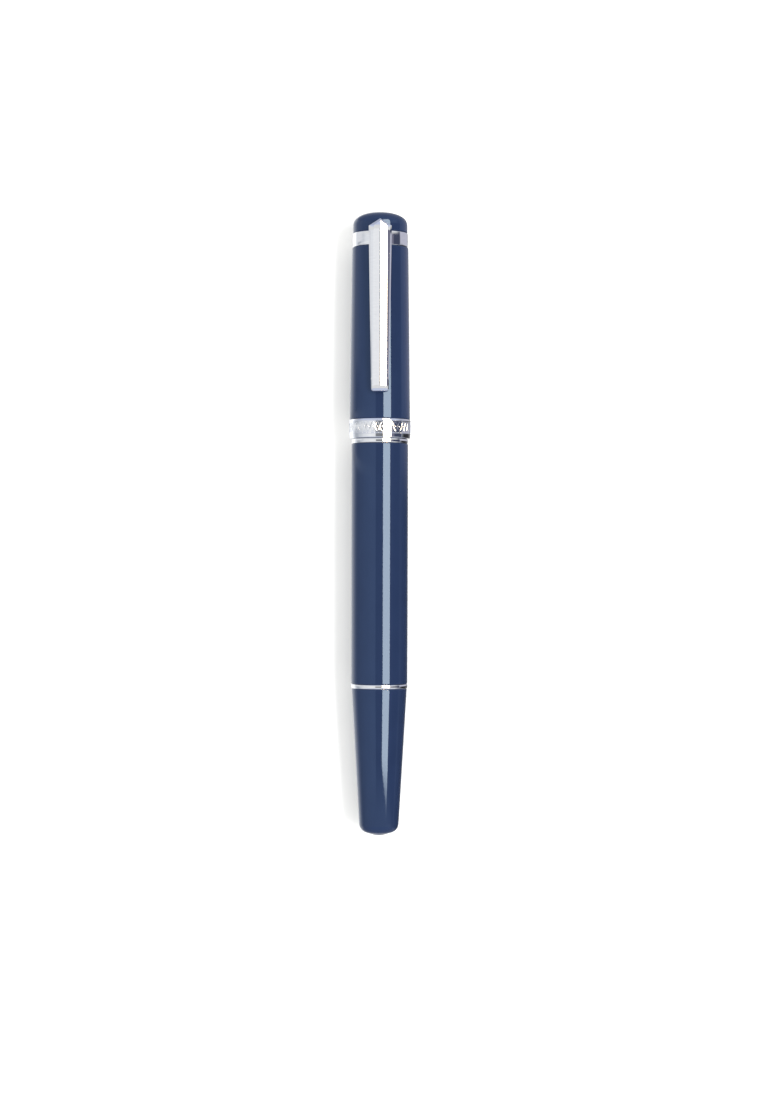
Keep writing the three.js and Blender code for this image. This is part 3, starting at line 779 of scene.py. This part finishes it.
def make_band():
    proud = radii("cap_band")[1]
    band = spun("band_body", softened(band_outline(), True, 0.02 * MM), True, 192, "chrome")
    lip = stations("cap_band")[0]
    centre = lip + (FIELD_FROM + FIELD_TO) / 2
    ground = proud - FIELD_DEPTH
    waves = 20
    shared = dict(ground_radius=ground - 0.085 * MM, wire_radius=0.12 * MM, centre=centre,
                  waves=waves, lift=0.012 * MM, steps=waves * 28)
    strands = [patterned(f"strand_{i}", frieze_strand, "chrome", swing=1.02 * MM,
                         phase=i * math.pi, **shared) for i in range(2)]
    studs = patterned("studs", ring_of_studs, "chrome", count=2 * waves, radius=ground,
                      along=centre, stud_radius=0.20 * MM, stud_height=0.05 * MM,
                      turned=math.pi / (2 * waves))
    placed(joined("cap_band_chased", "chrome", [band, *strands, studs]), "cap_band", "chrome")


def between_loops(loops):
    """The corners of loops of equal length, and the faces that join each loop to the next."""
    count = len(loops[0])
    faces = []
    for k in range(0, (len(loops) - 1) * count, count):
        for i in range(count):
            j = (i + 1) % count
            faces.append((k + i, k + j, k + count + j, k + count + i))
    return [corner for loop in loops for corner in loop], faces


def faced_piece(name, slot, verts, faces):
    mesh = bpy.data.meshes.new(name)
    mesh.from_pydata(verts, [], faces)
    mesh.materials.append(finishes[slot])
    return new_object(name, mesh)


RING_GAP = 1.4 * MM


def make_clutch():
    """The split ring: a rounded ring with a gap that faces down."""
    inner, outer = radii("clutch_ring")
    start, stop = stations("clutch_ring")
    section = outline_of((start, inner), (start, outer), (stop, outer), (stop, inner))
    section = softened(section, True, 0.3 * MM)
    gap = RING_GAP / outer
    steps = 96
    loops = []
    for k in range(steps + 1):
        angle = math.pi + gap / 2 + (2 * math.pi - gap) * k / steps
        loops.append([(p.y * math.sin(angle), p.x, AXIS_HEIGHT + p.y * math.cos(angle))
                      for p in section])
    verts, faces = between_loops(loops)
    count = len(section)
    faces.append(tuple(reversed(range(count))))
    faces.append(tuple(range(steps * count, len(verts))))
    ring = faced_piece("split_ring", "steel", verts, faces)
    placed(tidied(ring), "clutch_ring", "steel")


def make_liner():
    body = spun_like("inner_cap", "liner_body", "black_plastic")
    radius = max(p.y for p in meridian("inner_cap")[0])
    mouth = stations("inner_cap")[0]
    neck = stations("inner_cap")[1] - 8.5 * MM
    ribs = patterned("liner_ribs", ring_of_ribs, "black_plastic", count=8, root=radius - 0.2 * MM,
                     near_top=radius + 0.4 * MM, far_top=radius + 0.05 * MM,
                     start=mouth + 1.5 * MM, stop=neck, width=0.9 * MM, turned=math.pi / 8)
    placed(joined("liner", "black_plastic", [body, ribs]), "inner_cap", "black_plastic")


def combined(piece, operation, others):
    """Cuts other shapes out of a piece, or joins them to it, and uses them up."""
    for other in others:
        modifier = piece.modifiers.new(operation, "BOOLEAN")
        modifier.operation = operation
        modifier.solver = "EXACT"
        modifier.object = other
    made_plain(piece)
    for other in others:
        bpy.data.objects.remove(other)
    return piece


def block(name, low, high):
    """A rectangular cutter between two corners."""
    low, high = Vector(low), Vector(high)
    mesh = bpy.data.meshes.new(name)
    with opened(mesh) as shape:
        bmesh.ops.create_cube(shape, size=1.0)
        for v in shape.verts:
            v.co = [low[i] + (v.co[i] + 0.5) * (high[i] - low[i]) for i in range(3)]
    return new_object(name, mesh)


PIN_LOW, PIN_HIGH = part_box("clip_pin")
PIN_RADIUS = (PIN_HIGH.z - PIN_LOW.z) / 2
PIN_PLAY = 0.08 * MM


def across_pen(name, outline, sides, slot):
    """A round piece along X on the clip pin's axis, from an outline of (across, radius)."""
    piece = spun(name, outline, False, sides, slot)
    turn = Matrix.Rotation(math.radians(-90), 4, "Z")
    shift = Matrix.Translation((0, *middle("clip_pin").yz))
    piece.data.transform(shift @ turn @ Matrix.Translation((0, 0, -AXIS_HEIGHT)))
    return piece


def pin_hole(name, reach):
    """A cutter for the clip pin's hole, which reaches equally far to both sides."""
    radius = PIN_RADIUS + PIN_PLAY
    outline = outline_of((-reach, 0), (-reach, radius), (reach, radius), (reach, 0))
    return across_pen(name, outline, 32, "chrome")


def pin_outline(half, radius, chamfer):
    """A pin's outline, with rounded ends and a small dimple in each."""
    dimple = radius * 0.35
    right = outline_of((half - dimple * 0.5, 0), (half, dimple),
                       (half, radius - chamfer), (half - chamfer, radius))
    left = [Vector((-p.x, p.y)) for p in reversed(right)]
    return softened(left + right, False, 0.03 * MM)


def make_clip_ring():
    ring = crowned_ring("clip_ring", "ring_body", 0.05 * MM, 0.12 * MM)
    start, stop = stations("clip_ring")
    floor = min(v.co.z for v in frame["nodes"]["clip"].data.vertices)
    slot_half = 1.3 * MM
    top = AXIS_HEIGHT + radii("clip_ring")[1] + MM
    slot = block("slot", (-slot_half, start - MM, floor - 0.1 * MM), (slot_half, stop + MM, top))
    reach = 3.38 * MM
    combined(ring, "DIFFERENCE", [slot, pin_hole("hole", reach)])
    placed(tidied(ring), "clip_ring", "chrome")
    outline = pin_outline(reach - 0.06 * MM, PIN_RADIUS, 0.08 * MM)
    placed(across_pen("pin", outline, 48, "steel"), "clip_pin", "steel")


def make_leaf():
    """The leaf spring under the clip's tab: a bent strip with rounded bumps."""
    low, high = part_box("clip_spring")
    thickness = 0.15 * MM
    back = low.y
    steps = 28
    front, rear = [], []
    bump = high.y - low.y - thickness
    for i in range(steps + 1):
        share = i / steps
        height = low.z + (high.z - low.z) * share
        foot_share = (height - low.z) / (1.55 * MM)
        lift = math.sin(math.pi * min(foot_share, 1.0)) ** 2 * bump
        front.append(Vector((back + thickness + lift, height)))
        rear.append(Vector((back + lift * 0.9, height)))
    loop = front + rear[::-1]
    half = high.x
    rim = 0.04 * MM
    loops = []
    for x, pull in ((-half, rim), (-half + rim, 0), (half - rim, 0), (half, rim)):
        loops.append([(x, p.x + pull * (-0.5 if i < len(front) else 0.5), p.y)
                      for i, p in enumerate(loop)])
    verts, faces = between_loops(loops)
    count = len(loop)
    for first in (0, len(verts) - count):
        for i in range(len(front) - 1):
            a, d = first + i, first + count - 1 - i
            faces.append((a, a + 1, d - 1, d) if first else (d, d - 1, a + 1, a))
    piece = faced_piece("leaf", "steel", verts, faces)
    with opened(piece.data) as strip:
        bmesh.ops.recalc_face_normals(strip, faces=strip.faces)
    placed(tidied(piece), "clip_spring", "steel")


# ---------------------------------------------------------------- the clip

TOP_EDGE = 1.14 * MM
TIP_EDGE = 0.56 * MM
EDGE_TURN = 0.66
EDGE_SLOPES = (0.28, 0.93)
CHEVRON_EDGE = 0.52 * MM
CHEVRON_EDGE_DROP = 0.34 * MM
EDGE_BLEND = 1.2 * MM
CLIP_SLOPE = math.tan(math.radians(11))
RIDGE_ROUND = 0.10 * MM
CHEVRON = 1.6 * MM
TIP_CORNER = 0.7 * MM
TIP_FALL = 0.55 * MM
TIP_FALL_LENGTH = 1.6 * MM
TOP_FALL = 0.35 * MM
FACET_SHARES = (0, 0.03, 0.07, 0.13, 0.25, 0.45, 0.65, 0.85, 1.0)
EDGE_SHARES = (0, 0.05, 0.12, 0.3, 0.62, 0.66, 0.70, 0.85, 1.0)
EDGE_ROUND = 0.06


class ClipShape:
    """The sizes of the clip's bar, read from its node."""

    def __init__(self):
        corners = [v.co for v in frame["nodes"]["clip"].data.vertices]
        low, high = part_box("clip")
        self.tip, self.apex, self.half, self.ridge = low.y, high.y, high.x, high.z
        self.foot = low.z
        self.under = min(c.z for c in corners if c.y > self.apex - 0.5 * MM)
        self.pad = min(c.z for c in corners if c.y < self.tip + 2.4 * MM)
        self.tip_half = max(c.x for c in corners if c.y < self.tip + 0.75 * MM)
        self.shoulder = self.apex - CHEVRON
        slant = math.hypot(CHEVRON, self.half)
        self.inner_apex = self.apex - CHEVRON_EDGE * slant / self.half
        inner_half = self.half - TOP_EDGE
        self.inner_shoulder = self.inner_apex - CHEVRON / self.half * inner_half

    def half_at(self, along):
        share = (along - self.tip - TIP_CORNER) / (self.shoulder - self.tip - TIP_CORNER)
        return self.tip_half + (self.half - self.tip_half) * share

    def edge_at(self, along):
        share = min(max((along - self.tip) / (self.shoulder - self.tip), 0), 1)
        return TIP_EDGE + (TOP_EDGE - TIP_EDGE) * share

    def height(self, x, along, edge_share):
        gable = CLIP_SLOPE * (math.hypot(x, RIDGE_ROUND) - RIDGE_ROUND)
        gentle, steep = EDGE_SLOPES
        run = math.hypot(edge_share, EDGE_ROUND) - EDGE_ROUND
        edge = gentle * run + (steep - gentle) * max(edge_share - EDGE_TURN, 0)
        edge *= self.edge_at(along)
        at_top = min(max((along - self.inner_shoulder) / EDGE_BLEND + 1, 0), 1)
        edge += (CHEVRON_EDGE_DROP * edge_share - edge) * at_top
        near_tip = min(max(1 - (along - self.tip) / TIP_FALL_LENGTH, 0), 1)
        near_top = max((along - self.inner_shoulder) / (self.apex - self.inner_shoulder), 0)
        return self.ridge - gable - edge - TIP_FALL * near_tip ** 2 - TOP_FALL * near_top

    def rows(self):
        """Pairs of points on the facet's edge and on the outline, from the apex round to the tip."""
        pairs = []
        inner_corner = Vector((self.half_at(self.inner_shoulder) - TOP_EDGE, self.inner_shoulder))
        outer_corner = Vector((self.half, self.shoulder))
        for k in range(19):
            share = k / 18
            pairs.append((Vector((0, self.inner_apex)).lerp(inner_corner, share),
                          Vector((0, self.apex)).lerp(outer_corner, share)))
        start = self.tip + TIP_CORNER
        for k in range(1, 31):
            share = k / 30
            inner = inner_corner.y + (start - inner_corner.y) * share
            outer = outer_corner.y + (start - outer_corner.y) * share
            pairs.append((Vector((self.half_at(inner) - self.edge_at(inner), inner)),
                          Vector((self.half_at(outer), outer))))
        centre = Vector((self.tip_half - TIP_CORNER, start))
        for k in range(1, 9):
            angle = math.pi / 2 * k / 8
            way = Vector((math.cos(angle), -math.sin(angle)))
            pairs.append((centre + way * (TIP_CORNER - TIP_EDGE), centre + way * TIP_CORNER))
        return pairs


def clip_bar(shape):
    """The bar's closed skin: two facets, the bevel round them, the walls and the underside."""
    solid = bmesh.new()
    made = {}

    def corner(x, along, z):
        key = (round(x * 1e7), round(along * 1e7), round(z * 1e7))
        if key not in made:
            made[key] = solid.verts.new((x, along, z))
        return made[key]

    def top(x, along, edge_share, side):
        return corner(side * x, along, shape.height(x, along, edge_share))

    def patch(a, b, c, d):
        ring = []
        for v in (a, b, c, d):
            if v not in ring:
                ring.append(v)
        if len(ring) > 2 and not solid.faces.get(ring):
            solid.faces.new(ring)

    def skin(rows):
        for row, after in zip(rows, rows[1:]):
            for i in range(len(row) - 1):
                patch(row[i], row[i + 1], after[i + 1], after[i])

    rim = 0.05 * MM
    pairs = shape.rows()
    outline = {}
    for side in (1, -1):
        grid = []
        for inner, outer in pairs:
            row = [top(inner.x * u, inner.y, 0, side) for u in FACET_SHARES]
            row += [top(*inner.lerp(outer, v), v, side) for v in EDGE_SHARES[1:]]
            grid.append(row)
        skin(grid)
        inner, outer = pairs[-1]
        end = [[top(inner.x * u, inner.y + (outer.y - inner.y) * v, v, side)
                for u in FACET_SHARES] for v in EDGE_SHARES]
        skin(end)
        loop = []
        for (inner, outer), row in zip(pairs, grid):
            loop.append((row[-1], outer, outer.lerp(inner, 0.3)))
        for i in range(len(FACET_SHARES) - 2, -1, -1):
            point = Vector((pairs[-1][1].x * FACET_SHARES[i], shape.tip))
            loop.append((end[-1][i], point, point + Vector((0, rim))))
        for a, b in zip(loop, loop[1:]):
            walls = []
            for v, outer, inset in (a, b):
                walls.append((v, corner(side * outer.x, outer.y, shape.under + rim),
                              corner(side * inset.x, inset.y, shape.under)))
            for i in range(2):
                patch(walls[0][i], walls[1][i], walls[1][i + 1], walls[0][i + 1])
        outline[side] = [corner(side * p[2].x, p[2].y, shape.under) for p in loop]
    ring = outline[1] + outline[-1][-2:0:-1]
    solid.faces.new(list(dict.fromkeys(ring)))
    bmesh.ops.recalc_face_normals(solid, faces=solid.faces)
    mesh = bpy.data.meshes.new("clip_bar")
    solid.to_mesh(mesh)
    solid.free()
    mesh.materials.append(finishes["chrome"])
    return new_object("clip_sprung", mesh)


def rounded_block(name, low, high, radius):
    piece = block(name, low, high)
    with opened(piece.data) as shape:
        bmesh.ops.bevel(shape, geom=shape.edges[:], offset=radius, segments=4, profile=0.5,
                        affect="EDGES")
    piece.data.materials.append(finishes["chrome"])
    return piece


def make_clip():
    shape = ClipShape()
    bar = clip_bar(shape)
    pin = middle("clip_pin")
    pad = rounded_block("pad", (-1.35 * MM, shape.tip + 0.5 * MM, shape.pad),
                        (1.35 * MM, shape.tip + 2.7 * MM, shape.under + 0.4 * MM), 0.3 * MM)
    tab = rounded_block("tab", (-1.2 * MM, pin.y - 0.8 * MM, shape.foot),
                        (1.2 * MM, pin.y + 0.8 * MM, shape.under + 0.4 * MM), 0.22 * MM)
    combined(bar, "UNION", (pad, tab))
    combined(bar, "DIFFERENCE", [pin_hole("pivot_hole", 3 * MM)])
    placed(tidied(bar), "clip", "chrome")


CROWN_DOME = 2.95 * MM
CROWN_SQUARE = 2.25


def squarer(outline, crown_radius, base):
    """The dome's outline with its shoulders fuller than those of an ellipse."""
    points = []
    for corner in outline:
        rise = (corner.x - base) / CROWN_DOME
        share = corner.y / crown_radius
        if rise > 0.01 and abs(rise ** 2 + share ** 2 - 1) < 0.05:
            full = max(1 - rise ** CROWN_SQUARE, 0) ** (1 / CROWN_SQUARE)
            corner = Vector((corner.x, crown_radius * full if rise < 0.995 else corner.y * 1.15))
        points.append(corner)
    return points


def make_cap():
    make_band()
    turned("cap_tube", "cap_shell", "navy_lacquer", WIDE)
    make_clutch()
    make_liner()
    make_clip_ring()
    make_leaf()
    stud_radius = radii("crown_stud")[1]
    start, stop = stations("crown_stud")
    stud_thread = (stud_radius, start + 0.1 * MM, stop - 0.1 * MM, STUD_PITCH, 0.18 * MM)
    turned("crown_stud", "stud", "brass", SMALL, threads=[stud_thread])
    base = stations("crown")[0]
    outline, closed = meridian("crown")
    outline = squarer(outline, radii("crown")[1], stations("crown")[1] - CROWN_DOME)
    bore = stud_radius + 0.08 * MM
    bore_thread = (bore, base + 0.1 * MM, base + 2.3 * MM, STUD_PITCH, -0.16 * MM)
    dome = spun("crown_dome", softened(outline, closed), closed, WIDE, "navy_lacquer", [bore_thread])
    placed(dome, "crown", "navy_lacquer")
    make_clip()


# ---------------------------------------------------------------- table, light and camera

TABLE_HALF = 0.9
TABLE_DROP = 0.03 * MM


def make_table():
    half, drop = TABLE_HALF, -TABLE_DROP
    square = [(-half, -half, drop), (half, -half, drop), (half, half, drop), (-half, half, drop)]
    table = faced_piece("table", "table_paper", square, [(0, 1, 2, 3)])
    table.visible_glossy = False


FILL = (1.43, 1.43, 1.394)
STUDIO_ROUND = [
    (-180, (0.80, 0.80, 0.80)), (-165, (1.10, 1.12, 1.15)), (-150, (1.25, 1.27, 1.30)),
    (-138, (1.40, 1.42, 1.45)), (-128, (1.28, 1.30, 1.34)), (-119, (0.95, 0.98, 1.02)),
    (-112, (0.72, 0.75, 0.80)), (-104, (0.46, 0.49, 0.54)), (-94, (0.46, 0.49, 0.54)),
    (-84, (0.62, 0.65, 0.70)), (-60, (0.84, 0.86, 0.89)), (-32, (0.98, 0.99, 1.00)),
    (-18, (0.94, 0.95, 0.96)), (-13.5, (0.24, 0.25, 0.27)), (13, (0.22, 0.23, 0.25)),
    (44, (0.22, 0.22, 0.29)), (54, (0.20, 0.20, 0.27)), (61, (0.06, 0.07, 0.12)),
    (88, (0.06, 0.07, 0.12)), (93, (0.34, 0.36, 0.42)), (97, (0.12, 0.13, 0.14)),
    (108, (0.03, 0.03, 0.035)), (130, (0.04, 0.04, 0.045)), (150, (0.16, 0.16, 0.17)),
    (165, (0.30, 0.30, 0.31)), (180, (0.80, 0.80, 0.80)),
]
# Each panel has a colour, and the levels of turn and of lean where it rises, is full, and fades.
PANELS = [
    ((1.08, 1.08, 1.06), (-150, -130, -24, -18), (3.1, 3.3, 3.6, 3.8)),
    ((0.82, 0.83, 0.86), (-124, -108, -90, -70), (4.9, 5.6, 90, 91)),
    ((0.56, 0.56, 0.66), (90, 95, 150, 165), (1, 5, 90, 91)),
]
END_NEAR = (0.84, 0.84, 0.83)
END_LOW = (0.42, 0.45, 0.56)
END_HIGH = (0.62, 0.68, 0.86)
STRIP = (19.0, 15.6, 11.1)
KEY_WATTS = 2.6
KEY_SIZE = (0.13, 0.5)
KEY_AWAY = 0.6
KEY_ANGLE = math.radians(28)


def make_light():
    """White to the eye, even to matt finishes, and a studio of panels to the glossy ones."""
    world = bpy.data.worlds.new("studio")
    bpy.context.scene.world = world
    nodes = emptied(world)
    ramp, mix = nodes.ramp, nodes.mix

    way = nodes.add("ShaderNodeTexCoord").outputs["Generated"]
    x, y, z = nodes.parts(way)
    turn = nodes.math("ARCTAN2", x, z) * math.degrees(1)
    lean = nodes.math("ARCSINE", y) * math.degrees(1)
    off_level = nodes.math("ABSOLUTE", lean)

    colour = STUDIO_ROUND[0][1]
    for (low, _), (high, reached) in zip(STUDIO_ROUND, STUDIO_ROUND[1:]):
        colour = mix(ramp(turn, low, high), colour, reached)
    for panel, turns, leans in PANELS:
        share = nodes.between(turn, *turns) * nodes.between(lean, *leans)
        colour = mix(share, colour, panel)

    near_end = ramp(off_level, 11, 14) * ramp(z, -0.1, 0.4)
    colour = mix(near_end, colour, END_NEAR)
    end = mix(ramp(z, -0.25, 0.3), END_LOW, END_HIGH)
    colour = mix(ramp(off_level, 24, 34), colour, end)

    narrowing = ramp(lean, -13.3, -11.0, 25.0, 0.0)
    strip_share = ramp(turn - narrowing, 13, 14.5) * ramp(turn, 42, 44, 1.0, 0.0)
    strip_share = strip_share * nodes.between(lean, -13.6, -10.6, 36, 50)
    colour = mix(strip_share, colour, STRIP)

    path = nodes.add("ShaderNodeLightPath").outputs
    first_bounce = nodes.math("LESS_THAN", path["Diffuse Depth"], 0.5)
    glossy = first_bounce * path["Is Glossy Ray"]
    seen = mix(path["Is Camera Ray"], mix(glossy, FILL, colour), (1.0, 1.0, 1.0))
    background = nodes.add("ShaderNodeBackground", {"Color": seen, "Strength": 1.0})
    nodes.add("ShaderNodeOutputWorld", {0: background.outputs[0]})

    key = bpy.data.lights.new("key", "AREA")
    key.shape = "RECTANGLE"
    key.size, key.size_y = KEY_SIZE
    key.energy = KEY_WATTS
    lamp = new_object("key", key)
    lamp.location = (KEY_AWAY * math.sin(KEY_ANGLE), -0.02, KEY_AWAY * math.cos(KEY_ANGLE))
    lamp.rotation_euler = (0, KEY_ANGLE, 0)
    lamp.visible_glossy = False
    lamp.visible_camera = False


CAMERA_AWAY = 540 * MM
CAMERA_AT = (0.34 * MM, -11.5 * MM, AXIS_HEIGHT + CAMERA_AWAY)
CAMERA_TILT = math.atan2(5.57 * MM, CAMERA_AWAY)
CAMERA_ROLL = 0.0024
FILM_HEIGHT = 36
FOCAL_LENGTH = 79.3


def make_camera():
    lens = bpy.data.cameras.new("camera")
    lens.sensor_fit = "VERTICAL"
    lens.sensor_height = FILM_HEIGHT
    lens.lens = FOCAL_LENGTH
    lens.clip_start = 0.01
    camera = new_object("camera", lens)
    camera.location = CAMERA_AT
    camera.rotation_euler = (CAMERA_TILT, 0, CAMERA_ROLL)
    bpy.context.scene.camera = camera


make_barrel()
make_section()
make_refill()
make_cap()
make_table()
make_light()
make_camera()
bpy.context.scene.view_settings.view_transform = "Standard"
